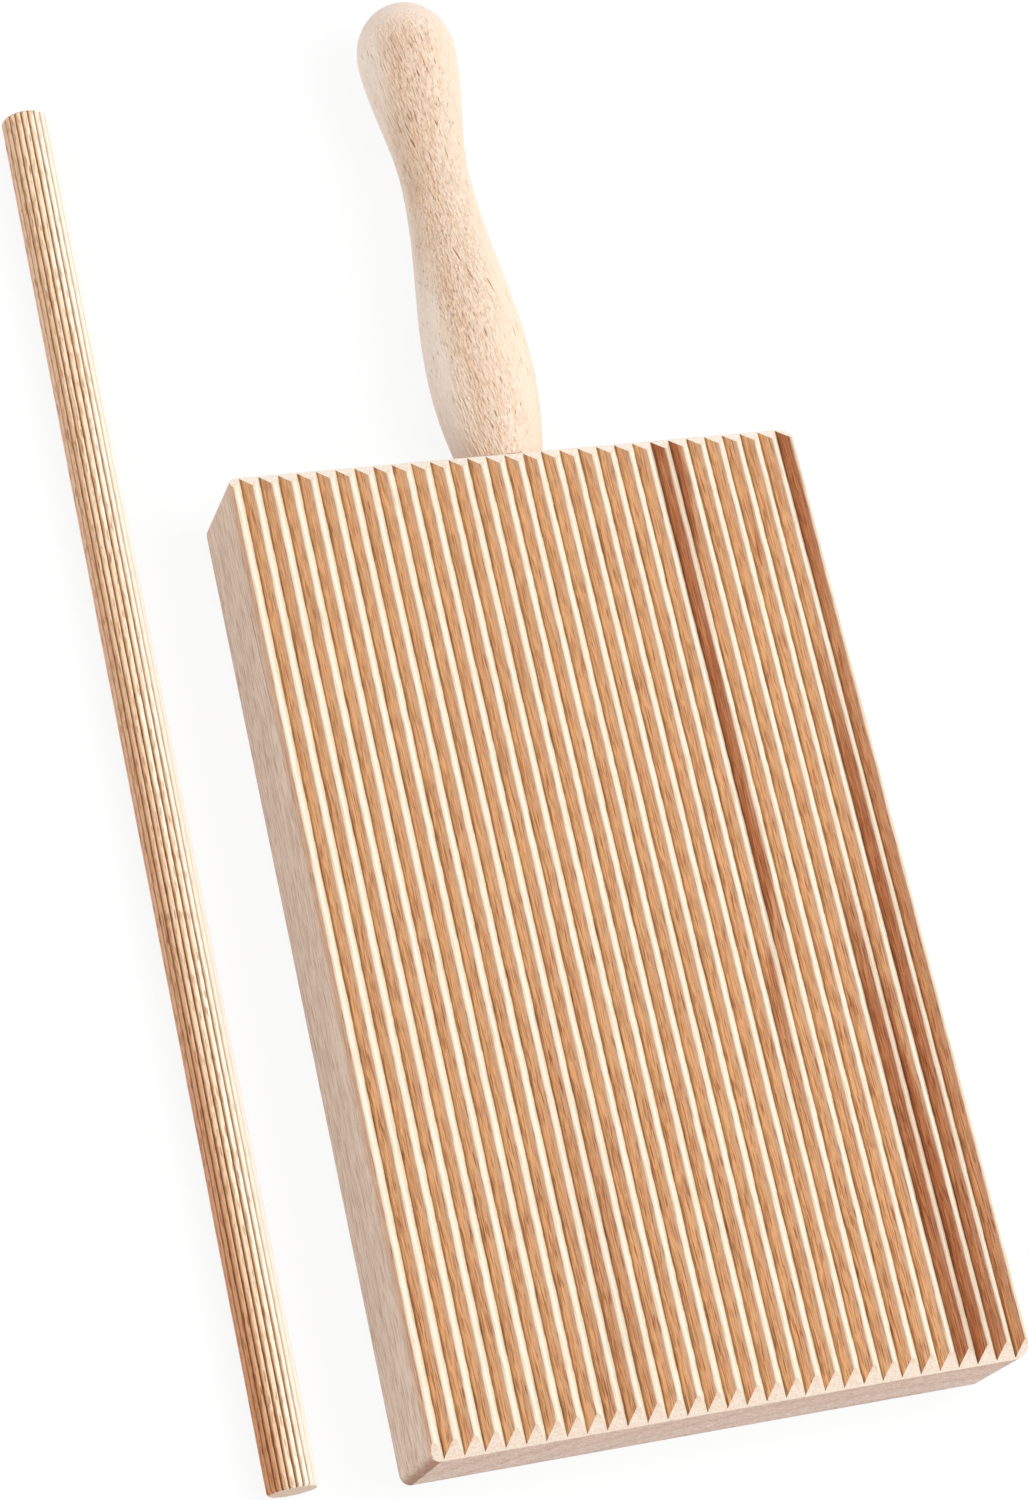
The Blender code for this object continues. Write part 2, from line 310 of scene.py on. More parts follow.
class Finish(Nodes):
    """Adds the nodes of a wood finish. Places and patterns are in millimetres, the grain along Y."""

    def __init__(self, name):
        self.material = bpy.data.materials.new(name)
        self.material.use_nodes = True
        super().__init__(self.material.node_tree)
        place = self.add("ShaderNodeTexCoord").outputs["Object"]
        sockets = {0: place, 1: (1 / MM, 1 / MM, 1 / MM)}
        self.place = self.add("ShaderNodeVectorMath", sockets, operation="MULTIPLY").outputs[0]
        self.x, self.y, self.z = self.add("ShaderNodeSeparateXYZ", {0: self.place}).outputs

    def turned(self, place, angle):
        """Return a place in the coordinates of a grain that is turned about the upright."""
        sockets = {"Vector": place, "Angle": -angle}
        return self.add("ShaderNodeVectorRotate", sockets, rotation_type="Z_AXIS").outputs[0]

    def turn_grain(self, angle):
        """Turn the patterns that are added next, counterclockwise as seen from above."""
        self.place = self.turned(self.place, angle)

    def rise(self, value, start, end):
        """Return 0 at start, 1 at end and a smooth climb between them. Start may be the larger."""
        sockets = {"Value": value, "From Min": start, "From Max": end}
        return self.add("ShaderNodeMapRange", sockets, interpolation_type="SMOOTHSTEP").outputs[0]

    def at_least(self, low, pattern):
        """Return low where the pattern is 0, 1 where it is 1, and a straight line between them."""
        return self.shift(pattern, 0.0, 1.0, low, 1.0)

    def away(self, value, place):
        """Return how far a value is from a place."""
        return self.math("ABSOLUTE", self.math("SUBTRACT", value, place))

    def sway(self, value, pattern, reach):
        """Return the value pushed up and down by a pattern around 0.5, by reach times its swing."""
        return self.math("MULTIPLY_ADD", self.math("SUBTRACT", pattern, 0.5), reach, value)

    def sum_of(self, *weighted):
        """Return the sum of patterns, each given with its weight."""
        total = 0.0
        for pattern, weight in weighted:
            total = self.math("MULTIPLY_ADD", pattern, weight, total)
        return total

    def sum_of_squares(self, first, second):
        """Return the sum of the squares of two values."""
        return self.math("ADD", self.times(first, first), self.times(second, second))

    def mix(self, share, first, second, blend="MIX"):
        """Return a blend of two colours, each a node's output or red, green and blue."""
        sockets = {0: share, 6: first, 7: second}
        for key in (6, 7):
            if not isinstance(sockets[key], bpy.types.NodeSocket):
                sockets[key] = (*sockets[key], 1.0)
        return self.add("ShaderNodeMix", sockets, data_type="RGBA", blend_type=blend).outputs[2]

    def tint(self, share, base, factor):
        """Return the base colour multiplied by a factor colour, by a share from 0 to 1."""
        return self.mix(share, base, factor, "MULTIPLY")

    def stretched(self, across, along, start=(0, 0, 0)):
        """Return coordinates whose unit is across wide and along long, with the grain along Y."""
        sockets = {"Vector": self.place, "Location": start, "Scale": (1 / across, 1 / along, 1 / across)}
        return self.add("ShaderNodeMapping", sockets).outputs[0]

    def noise(self, place, scale=1.0, detail=2.0):
        """Return a soft noise around 0.5."""
        sockets = {"Vector": place, "Scale": scale, "Detail": detail}
        return self.add("ShaderNodeTexNoise", sockets).outputs["Fac"]

    def streaks(self, across, along, detail=2.0, start=(0, 0, 0)):
        """Return a soft noise drawn out along the grain, around 0.5."""
        return self.noise(self.stretched(across, along, start), detail=detail)

    def flecks(self, across, along, size, share, start=(0, 0, 0)):
        """Return lens-shaped spots drawn out along the grain: 1 inside a spot, 0 outside."""
        vector = self.stretched(across, along, start)
        cells = self.add("ShaderNodeTexVoronoi", {"Vector": vector, "Scale": 1.0})
        chance = self.add("ShaderNodeSeparateColor", {0: cells.outputs["Color"]})
        reach = self.times(self.math("ADD", chance.outputs[1], 0.35), size)
        faded = self.rise(cells.outputs["Distance"], self.times(reach, 0.5), reach)
        chosen = self.math("LESS_THAN", chance.outputs[0], share)
        return self.times(self.math("SUBTRACT", 1.0, faded), chosen)

    def finish(self, base, height, depth, roughness):
        """Feed the shader with the colour and a relief, height times depth in millimetres."""
        sockets = {"Height": height, "Distance": depth * MM, "Strength": 1.0}
        bump = self.add("ShaderNodeBump", sockets)
        sockets = {"Base Color": base, "Roughness": roughness, "Specular IOR Level": WOOD_SHINE}
        sockets["Normal"] = bump.outputs[0]
        self.feed(self.tree.nodes["Principled BSDF"], sockets)
        return self.material


# Colours and tints of the ridges' slopes; a tint multiplies the colour below it
RIGHT_FOOT = (0.965, 0.945, 0.79)
RIGHT_BROAD = (1.0, 0.95, 0.93)
RIGHT_FINE = (0.89, 0.815, 0.70)
LEFT_BROAD = (0.95, 0.93, 0.91)
LEFT_SPARK = (0.92, 0.43, 0.23)
LEFT_THREAD = (0.60, 0.40, 0.275)
HEARTWOOD_FOOT = (0.86, 0.80, 0.74)
# Partly burnish, partly painted shade along the deepest line of a groove
VALLEY_SHADE_LINE = (0.72, 0.60, 0.50)


def milled_beech():
    """Return the finish of the ridges: cream with painted light right of each crest, warm and flecked
    with painted shade left of it.
    """
    beech, sizes = settings().beech, settings().board
    n = Finish("milled_beech")
    heart = heartwood_streaks(n)
    # From 0 at a crest over 0.5 in the valley to 1 at the next, kept positive by 8 ridges more
    pitch = sizes.groove_pitch / MM
    ridges = n.math("DIVIDE", n.math("ADD", n.x, sizes.groove_count * pitch / 2), pitch)
    share = n.math("FRACT", n.math("ADD", ridges, 8.0))
    from_crest = n.math("PINGPONG", share, 0.5)
    n.turn_grain(RIDGE_GRAIN_SLANT)
    fine = n.streaks(0.26, 8.0)
    broad = n.streaks(1.4, 30.0, start=(40, 0, 0))
    along_edges = n.streaks(0.6, 5.0, start=(2, 2, 2))
    ragged = n.sway(share, along_edges, 0.10)
    threads = n.rise(n.streaks(0.24, 6.0, 1.0, start=(1, 7, 2)), 0.59, 0.65)
    threads = n.times(threads, n.shift(n.y, -60.0, 60.0, 1.0, 0.75))
    sparks = n.rise(n.streaks(0.30, 5.0, 1.0, start=(6, 1, 9)), 0.58, 0.66)
    spots = n.times(n.flecks(0.4, 8.0, 0.36, 0.7), n.shift(n.y, -60.0, 60.0, 0.65, 0.35))
    # The right slope's colour, painted light from crest to foot
    pale = n.mix(n.rise(from_crest, 0.0, 0.08), beech.crest, beech.right_slope_painted_lit)
    pale = n.mix(n.rise(from_crest, 0.30, 0.46), pale, RIGHT_FOOT)
    pale = n.tint(n.rise(broad, 0.50, 0.62), pale, RIGHT_BROAD)
    pale = n.tint(n.rise(fine, 0.56, 0.62), pale, RIGHT_FINE)
    pale = n.tint(n.times(heart, 0.4), pale, beech.heartwood)
    # The left slope's colour, painted shade with its fibres and flecks
    warm = n.mix(n.rise(fine, 0.56, 0.48), beech.left_dark_painted_shade, beech.left_slope_painted_shade)
    warm = n.tint(n.rise(broad, 0.46, 0.66), warm, LEFT_BROAD)
    warm = n.mix(n.times(sparks, 0.6), warm, LEFT_SPARK)
    near_crest = n.rise(n.sway(share, along_edges, 0.25), 0.70, 0.88)
    warm = n.mix(n.times(near_crest, 0.75), warm, beech.shoulder)
    warm = n.tint(threads, warm, LEFT_THREAD)
    warm = n.tint(spots, warm, beech.fleck)
    # Partly burnish, partly painted shade near the valley
    warm = n.tint(n.rise(ragged, 0.62, 0.52), warm, beech.valley)
    warm = n.tint(heart, warm, beech.heartwood)
    warm = n.tint(n.times(heart, n.rise(ragged, 0.72, 0.54)), warm, HEARTWOOD_FOOT)
    edge = n.rise(n.sway(share, along_edges, 0.05), 0.985, 0.895)
    base = n.mix(n.times(n.rise(share, 0.502, 0.520), edge), pale, warm)
    # Partly burnish, partly painted shade along the deepest line of each groove
    deepest = n.rise(n.sway(from_crest, along_edges, 0.16), 0.493, 0.503)
    base = n.tint(deepest, base, VALLEY_SHADE_LINE)
    return n.finish(base, n.sum_of((fine, 1.0), (threads, -0.2)), depth=0.10, roughness=0.6)


def heartwood_streaks(n):
    """Return where the reddish streaks lie: near the board's right edge, and a faint one left."""
    x = n.sway(n.x, n.streaks(3.0, 30.0, start=(70, 9, 2)), 3.0)
    x = n.sway(x, n.streaks(0.3, 12.0, start=(6, 2, 4)), 2.4)

    def band(middle, reach, soft=0.8):
        """Return 1 within reach of the middle line and 0 outside, with an edge that is soft wide."""
        return n.rise(n.math("SUBTRACT", reach, n.away(x, middle)), -soft / 2, soft / 2)

    middle = n.math("ADD", n.shift(n.y, -20.0, 2.0, 27.2, 30.9), n.shift(n.y, 60.0, 88.0, 0.0, 1.6))
    reach = n.shift(n.y, 50.0, 86.0, 1.3, 3.0)
    first = n.times(band(middle, reach), n.rise(n.y, -50.0, -12.0))
    middle = n.shift(n.y, -97.0, -25.0, 49.4, 48.0)
    reach = n.shift(n.y, -97.0, -10.0, 3.8, 2.2)
    second = n.times(band(middle, reach, 2.0), n.rise(n.y, 16.0, -34.0))
    third = n.times(band(55.0, 1.5), n.rise(n.y, 62.0, 20.0), n.shift(n.y, -60.0, -20.0, 0.75, 1.0))
    edge = n.times(n.rise(x, 56.6, 57.6), n.shift(n.y, 50.0, 85.0, 0.5, 1.0))
    sliver = n.times(band(46.9, 0.35), n.rise(n.away(n.y, 77.0), 10.0, 4.0))
    faint = n.times(band(-20.0, 5.0, 4.0), n.rise(n.y, -10.0, -60.0), 0.22)
    lively = n.shift(n.streaks(0.3, 14.0, start=(3, 1, 8)), 0.32, 0.68, 0.60, 1.15)
    return n.times(n.most(first, second, third, edge, sliver, faint), lively)


def darken_corner_band(n, base):
    """Return the colour with a dark band round the board's near upright corners."""
    radius = settings().board.corner_radius
    across = n.math("SUBTRACT", n.math("ABSOLUTE", n.x), (BOARD_WIDTH / 2 - radius) / MM)
    along = n.math("SUBTRACT", n.times(n.y, -1.0), (BOARD_LENGTH / 2 - radius) / MM)
    turn = n.math("ARCTAN2", along, n.math("MAXIMUM", across, 0.0))
    band = n.times(n.rise(turn, -0.1, 1.2), n.rise(turn, 1.56, 1.42), n.rise(n.z, 24.2, 23.2))
    return n.tint(band, base, settings().beech.corner_dark_band)


# Colours and tints of the ends, and where the middle of the tree's rings lies, in millimetres
# Painted light: the ends are painted lighter towards the bottom, where less light reaches them
END_LOW_PAINTED_LIGHT = (0.88, 0.73, 0.635)
END_RING = (0.93, 0.89, 0.86)
END_RAY = (0.72, 0.64, 0.59)
END_PORE = (0.72, 0.62, 0.55)
# Painted light: the far bevels are painted paler than the near ones
FAR_BEVEL_PAINTED_LIGHT = (1.0, 0.91, 0.80)
BEVEL_TIP = (0.96, 0.90, 0.85)
BEVEL_FIBRE = (0.92, 0.82, 0.75)
PITH_X = 34.0
PITH_Z = -60.0


def end_beech():
    """Return the finish of the board's end faces, where fine pale rays cross the end grain."""
    beech = settings().beech
    n = Finish("end_beech")
    wavy = n.times(n.streaks(9.0, 9.0, start=(5, 5, 5)), 3.0)
    level = {0: n.math("DIVIDE", n.x, 1.8), 2: n.math("DIVIDE", n.math("ADD", n.z, wavy), 0.26)}
    rays = n.noise(n.add("ShaderNodeCombineXYZ", level).outputs[0])
    pores = n.noise(n.place, 2.4)
    off_x = n.math("SUBTRACT", n.x, PITH_X)
    off_z = n.math("SUBTRACT", n.z, PITH_Z)
    from_pith = n.math("SQRT", n.sum_of_squares(off_z, off_x))
    ring = n.math("SINE", n.math("ADD", n.times(from_pith, 0.6), n.times(wavy, 1.2)))
    # Painted light: lighter towards the bottom
    face = n.mix(n.rise(n.z, 16.0, 2.0), beech.end_grain, END_LOW_PAINTED_LIGHT)
    face = n.tint(n.rise(ring, 0.2, 1.0), face, END_RING)
    face = n.tint(n.rise(rays, 0.56, 0.42), face, END_RAY)
    face = n.tint(n.rise(pores, 0.54, 0.66), face, END_PORE)
    # Painted light: the far bevels paler than the near ones
    slant = n.mix(n.rise(n.y, -50.0, 50.0), beech.bevel, FAR_BEVEL_PAINTED_LIGHT)
    lift = n.math("SUBTRACT", n.z, BOARD_THICKNESS / MM - 3.3)
    slant = n.tint(n.rise(lift, 1.9, 3.0), slant, BEVEL_TIP)
    slant = n.tint(n.rise(n.streaks(0.3, 4.0), 0.46, 0.66), slant, BEVEL_FIBRE)
    base = darken_corner_band(n, n.mix(n.rise(lift, 0.0, 0.25), face, slant))
    return n.finish(base, n.sum_of((rays, 1.0), (pores, -0.8)), depth=0.15, roughness=0.65)


# Colours and tints of the sides
# Painted light and shade: the sides are painted lighter towards the bottom and darker towards the top,
# evening out the light on them
SIDE_LOW_PAINTED_LIGHT = (0.88, 0.71, 0.595)
SIDE_BROAD = (0.97, 0.955, 0.945)
SIDE_TOP_PAINTED_SHADE = (0.90, 0.75, 0.62)
SIDE_FINE = (0.70, 0.61, 0.54)
SIDE_LINE = (0.72, 0.62, 0.54)
SIDE_CRACK = (0.50, 0.34, 0.24)


def planed_beech():
    """Return the finish of the board's sides and underside: greyish pink, with a few dark lines."""
    n = Finish("planed_beech")
    fine = n.streaks(0.30, 5.0)
    broad = n.streaks(3.0, 60.0, start=(20, 0, 0))
    dashes = n.flecks(0.8, 5.0, 0.3, 0.6)
    lines = n.flecks(1.6, 26.0, 0.13, 0.5, start=(5, 0, 3))
    from_crack = n.away(n.z, n.shift(n.y, 50.0, 81.0, 22.6, 20.6))
    crack = n.times(n.rise(n.y, 48.0, 54.0), n.rise(n.y, 82.0, 72.0), n.math("LESS_THAN", n.x, 0.0))
    crack = n.times(n.rise(n.sway(from_crack, fine, 0.8), 0.26, 0.08), crack)
    # Painted light: lighter towards the bottom
    base = n.mix(n.rise(n.z, 11.0, 2.0), settings().beech.side, SIDE_LOW_PAINTED_LIGHT)
    base = n.tint(n.rise(broad, 0.42, 0.62), base, SIDE_BROAD)
    # Painted shade: darker towards the top
    base = n.tint(n.rise(n.z, 21.5, 25.5), base, SIDE_TOP_PAINTED_SHADE)
    base = n.tint(n.rise(fine, 0.50, 0.60), base, SIDE_FINE)
    base = n.tint(n.times(dashes, 0.7), base, SIDE_LINE)
    base = n.tint(lines, base, SIDE_LINE)
    base = darken_corner_band(n, n.tint(crack, base, SIDE_CRACK))
    height = n.sum_of((fine, 1.0), (dashes, -0.6), (lines, -1.0), (crack, -1.0))
    return n.finish(base, height, depth=0.08, roughness=0.6)


# Tints of the handle
HANDLE_RIGHT = (0.98, 0.95, 0.93)
HANDLE_NECK = (0.93, 0.90, 0.88)
HANDLE_CLOUD = (0.965, 0.925, 0.88)
HANDLE_FINE = (0.92, 0.85, 0.77)
# The torn tint below is painted shade in the dips of the torn grain's relief
HANDLE_TORN_DIP_SHADE = (0.93, 0.87, 0.80)
HANDLE_FLECK = (0.58, 0.42, 0.30)
HANDLE_DASH = (0.42, 0.28, 0.19)


def turned_beech():
    """Return the handle's finish: cream, a tan of figure and painted shade along its upper left, torn
    grain and dashes.
    """
    beech, grain_slant = settings().beech, settings().handle.grain_slant
    n = Finish("turned_beech")
    x = n.sway(n.x, n.streaks(4.0, 40.0, start=(30, 0, 7)), 4.0)
    off_tip = n.rise(n.y, 209.0, 196.0)
    n.turn_grain(grain_slant)
    fine = n.streaks(0.32, 3.2, start=(11, 4, 0))
    torn = n.streaks(0.5, 1.8, start=(3, 8, 1))
    cloud = n.streaks(1.6, 9.0, start=(8, 3, 3))
    flecks = n.flecks(0.5, 9.0, 0.22, 0.6)
    # The tan band is partly figure, partly painted shade along the handle's upper left
    tan = n.times(n.rise(x, -11.0, -4.5), n.rise(x, 5.0, -7.0), off_tip, n.rise(n.z, 13.0, 19.0))
    rough = n.times(n.at_least(0.25, n.rise(x, 8.5, 1.0)), n.at_least(0.4, n.rise(x, -10.0, -5.0)))
    rough = n.times(rough, off_tip)
    # Painted light: the left side painted paler
    base = n.mix(n.rise(x, -3.5, -9.5), beech.handle, beech.handle_left_painted_light)
    base = n.tint(n.rise(x, 2.0, 6.0), base, HANDLE_RIGHT)
    base = n.mix(tan, base, beech.handle_tan_figure_and_shade)
    base = n.tint(n.times(tan, n.rise(n.y, 158.0, 166.0)), base, HANDLE_NECK)
    base = n.mix(n.rise(n.y, 196.0, 208.0), base, beech.handle_tip)
    base = n.tint(n.times(n.rise(cloud, 0.50, 0.64), rough), base, HANDLE_CLOUD)
    base = n.tint(n.times(n.rise(fine, 0.54, 0.64), rough), base, HANDLE_FINE)
    # Painted shade in the dips of the torn grain
    base = n.tint(n.times(n.rise(torn, 0.44, 0.38), rough), base, HANDLE_TORN_DIP_SHADE)
    base = n.tint(n.times(flecks, off_tip), base, HANDLE_FLECK)
    n.turn_grain(DASH_SLANT - grain_slant)
    for dash in DASHES:
        base = n.tint(handle_dash(n, *dash), base, HANDLE_DASH)
    height = n.times(n.sum_of((fine, 0.5), (torn, 1.0), (flecks, -0.2)), rough)
    return n.finish(base, height, depth=1.05, roughness=0.6)


def handle_dash(n, x, y, half_length):
    """Return a thin dark dash of the grain on top of the handle: 1 inside it, 0 outside."""
    spot = n.turned((x, y, 0.0), DASH_SLANT)
    offset = n.add("ShaderNodeVectorMath", {0: n.place, 1: spot}, operation="SUBTRACT").outputs[0]
    offset = n.add("ShaderNodeSeparateXYZ", {0: offset}).outputs
    across = n.math("DIVIDE", offset[0], DASH_HALF_WIDTH)
    along = n.math("DIVIDE", offset[1], half_length)
    inside = n.rise(n.sum_of_squares(across, along), 1.2, 0.5)
    return n.times(inside, n.math("GREATER_THAN", n.z, HANDLE_Z / MM))


# Tints of the stick
STICK_NEAR = (0.76, 0.52, 0.36)
STICK_FINE = (0.70, 0.58, 0.47)
STICK_TORN = (0.58, 0.43, 0.32)
# Painted shade on each rib's left flank, which faces away from the light
STICK_FLANK_SHADE = (0.63, 0.48, 0.36)
STICK_NEAR_FLANK_SHADE = (0.72, 0.62, 0.52)
# Partly dirt, partly painted shade in the notches between the ribs
STICK_NOTCH_DIRT_AND_SHADE = (0.50, 0.37, 0.27)


def fluted_beech():
    """Return the stick's finish: brown with painted shade on its far side, cream to white with painted
    light towards the board, dark notches.
    """
    beech, sizes = settings().beech, settings().stick
    n = Finish("fluted_beech")
    off_x = n.math("SUBTRACT", n.x, STICK_X / MM)
    off_z = n.math("SUBTRACT", n.z, STICK_RADIUS / MM)
    angle = n.math("ARCTAN2", off_x, off_z)
    # From -0.5 to 0.5 over a rib, 0 on its crown, kept positive until the last step by 40 ribs more
    turn = n.times(angle, sizes.flute_count / (2 * math.pi))
    turn = n.math("FRACT", n.math("ADD", turn, 40.5 - sizes.top_rib_shift))
    over_rib = n.math("SUBTRACT", turn, 0.5)
    fine = n.streaks(0.3, 3.2)
    torn = n.flecks(0.5, 4.0, 0.32, 0.9)
    lean = n.sway(angle, n.streaks(1.2, 24.0, start=(2, 0, 7)), 1.2)
    lean = n.math("MULTIPLY_ADD", over_rib, 0.55, lean)
    shade = n.rise(angle, 1.0, -0.3)
    deep = n.at_least(0.20, shade)
    nearness = n.shift(n.y, 150.0, -95.0, 0.0, 1.0)
    # Painted shade on each rib's left flank
    shaded_flank = n.times(n.rise(over_rib, 0.0, -0.32), deep)
    # The notches: partly dirt, partly painted shade
    notch = n.most(n.rise(over_rib, -0.30, -0.38), n.rise(over_rib, 0.44, 0.49))
    # Round the stick: painted shade on the far side, painted light and a painted highlight towards the
    # board, painted light low down
    base = n.mix(n.rise(lean, -0.85, -0.2), beech.stick_shaded_side, beech.stick_middle)
    base = n.mix(n.rise(angle, -0.98, -1.22), base, beech.stick_low)
    base = n.mix(n.rise(lean, -0.17, 0.35), base, beech.stick_lit_side)
    base = n.mix(n.rise(angle, 0.75, 1.15), base, beech.stick_painted_highlight)
    base = n.mix(n.rise(angle, 1.35, 1.80), base, beech.stick_middle)
    base = n.tint(n.times(nearness, n.rise(angle, -0.1, -0.95)), base, STICK_NEAR)
    base = n.tint(n.times(n.rise(fine, 0.52, 0.64), n.at_least(0.12, shade)), base, STICK_FINE)
    base = n.tint(n.times(torn, shade, 0.8), base, STICK_TORN)
    base = n.tint(shaded_flank, base, STICK_FLANK_SHADE)
    base = n.tint(n.times(shaded_flank, nearness, n.rise(angle, 0.8, 0.2)), base, STICK_NEAR_FLANK_SHADE)
    base = n.tint(n.times(notch, deep), base, STICK_NOTCH_DIRT_AND_SHADE)
    from_middle = n.away(n.y, STICK_MIDDLE / MM)
    sawn = n.math("GREATER_THAN", from_middle, STICK_LENGTH / 2 / MM - 0.1)
    base = n.mix(sawn, base, beech.stick_end)
    height = n.times(n.sum_of((fine, 1.0), (torn, -1.0)), deep)
    return n.finish(base, height, depth=0.08, roughness=0.6)


def deselect_all():
    """Leave edit mode if it is on, and deselect every object."""
    if bpy.context.object and bpy.context.object.mode != "OBJECT":
        bpy.ops.object.mode_set(mode="OBJECT")
    bpy.ops.object.select_all(action="DESELECT")


def select_only(piece):
    """Select one piece alone and make it active."""
    deselect_all()
    bpy.context.view_layer.objects.active = piece
    piece.select_set(True)


def name_active(name):
    """Name the object that was just added, and its mesh."""
    piece = bpy.context.object
    piece.name = name
    piece.data.name = name
    return piece


def edit():
    """Go into edit mode with everything selected."""
    bpy.ops.object.mode_set(mode="EDIT")
    bpy.ops.mesh.select_all(action="SELECT")


def pick(kind, test):
    """In edit mode, select only the vertices, edges or faces that pass a test."""
    bpy.ops.mesh.select_mode(type=kind)
    bpy.ops.mesh.select_all(action="DESELECT")
    mesh = bmesh.from_edit_mesh(bpy.context.object.data)
    elements = {"VERT": mesh.verts, "EDGE": mesh.edges, "FACE": mesh.faces}[kind]
    for element in elements:
        if test(element):
            element.select_set(True)
    mesh.select_flush_mode()
    bmesh.update_edit_mesh(bpy.context.object.data)


def move(x=0.0, y=0.0, z=0.0):
    """Move what is selected."""
    bpy.ops.transform.translate(value=(x, y, z))


def stretch(x, y, z, centre=(0, 0, 0)):
    """Scale what is selected about a point."""
    bpy.ops.transform.resize(value=(x, y, z), center_override=centre)


def extrude(x=0.0, y=0.0, z=0.0):
    """Extrude what is selected by a step."""
    bpy.ops.mesh.extrude_region_move(TRANSFORM_OT_translate={"value": (x, y, z)})


def face_outwards():
    """In edit mode, turn every face of the piece outwards."""
    bpy.ops.mesh.select_all(action="SELECT")
    bpy.ops.mesh.normals_make_consistent(inside=False)


def start_rod(name, sides, radius, centre):
    """Add a disc that faces along Y, and go into edit mode to extrude it."""
    deselect_all()
    bpy.ops.mesh.primitive_circle_add(
        vertices=sides,
        radius=radius,
        fill_type="NGON",
        location=centre,
        rotation=(math.pi / 2, 0, 0),
    )
    rod = name_active(name)
    bpy.ops.object.transform_apply(location=True, rotation=True, scale=True)
    edit()
    return rod


def apply_all(piece):
    """Apply the piece's modifiers in order."""
    select_only(piece)
    for modifier in list(piece.modifiers):
        bpy.ops.object.modifier_apply(modifier=modifier.name)


def combine(piece, other, operation):
    """Cut, join or intersect the piece with another object, which is then removed."""
    modifier = piece.modifiers.new("Combine", "BOOLEAN")
    modifier.operation = operation
    modifier.solver = "EXACT"
    modifier.object = other
    apply_all(piece)
    bpy.data.objects.remove(other, do_unlink=True)


def uneven(piece, depth, direction, across, along):
    """Push the piece's vertices about by a soft noise that is drawn out along the grain."""
    deselect_all()
    bpy.ops.object.empty_add(location=(0, 0, 0))
    guide = bpy.context.object
    guide.scale = (across, along, across)
    texture = bpy.data.textures.new("unevenness", "CLOUDS")
    texture.noise_scale = 1.0
    texture.noise_depth = 1
    modifier = piece.modifiers.new("Unevenness", "DISPLACE")
    modifier.texture = texture
    modifier.texture_coords = "OBJECT"
    modifier.texture_coords_object = guide
    modifier.direction = direction
    modifier.mid_level = 0.5
    modifier.strength = depth
    bpy.context.view_layer.update()
    apply_all(piece)
    bpy.data.objects.remove(guide, do_unlink=True)
    bpy.data.textures.remove(texture)


def smooth(piece, limit):
    """Shade the piece smoothly, except across edges that turn by more than a limit in degrees."""
    select_only(piece)
    bpy.ops.object.shade_smooth_by_angle(angle=math.radians(limit))
    deselect_all()


def sharp_groove_depth(sizes):
    """Return how deep a groove is before the crests beside it are rounded."""
    return sizes.groove_pitch / 2 / math.tan(sizes.groove_angle / 2)


def crest_loss(sizes):
    """Return how much of a ridge's height the rounding of its crest takes away."""
    return sizes.crest_radius * (1 / math.sin(sizes.groove_angle / 2) - 1)


def make_ridge_sheet(name, sizes):
    """Make the open, grooved upper surface of the board, a little larger than the board."""
    columns = 2 * (sizes.groove_count + 1)
    width = (sizes.groove_count + 1) * sizes.groove_pitch
    sharp_depth = sharp_groove_depth(sizes)
    deselect_all()
    bpy.ops.mesh.primitive_grid_add(x_subdivisions=columns, y_subdivisions=SHEET_ROWS, size=1)
    sheet = name_active(name)
    edit()
    stretch(width, BOARD_LENGTH + SHEET_OVERHANG, 1)
    move(z=BOARD_THICKNESS + crest_loss(sizes) - sharp_depth)

    def on_crest(vertex):
        """Return whether a vertex lies on a ridge's crest, which every second column does."""
        column = round((vertex.co.x + width / 2) / (sizes.groove_pitch / 2))
        return column % 2 == 1

    pick("VERT", on_crest)
    move(z=sharp_depth)
    pick("EDGE", lambda edge: all(on_crest(vertex) for vertex in edge.verts))
    bpy.ops.mesh.bevel(
        offset_type="OFFSET",
        offset=sizes.crest_radius / math.tan(sizes.groove_angle / 2),
        segments=CREST_SEGMENTS,
        profile=0.5,
        affect="EDGES",
        clamp_overlap=False,
    )
    uneven(sheet, sizes.wander, "X", across=7 * MM, along=45 * MM)
    uneven(sheet, sizes.wander, "Z", across=5 * MM, along=25 * MM)
    return sheet


def close_into_block(sheet, sizes):
    """Give the grooved surface its walls and floor, and bevel the ridge ends at 45 degrees."""
    select_only(sheet)
    edit()
    pick("EDGE", lambda edge: edge.is_boundary)
    extrude(z=-BOARD_THICKNESS)
    stretch(1, 1, 0, centre=(0, 0, -1 * MM))
    bpy.ops.mesh.edge_face_add()
    groove_depth = sharp_groove_depth(sizes) - crest_loss(sizes)
    foot_z = BOARD_THICKNESS - groove_depth - sizes.bevel_foot
    for end in (-1, 1):
        bpy.ops.mesh.select_all(action="SELECT")
        bpy.ops.mesh.bisect(
            plane_co=(0, end * BOARD_LENGTH / 2, foot_z),
            plane_no=(0, end, 1),
            use_fill=True,
            clear_outer=True,
        )
    face_outwards()


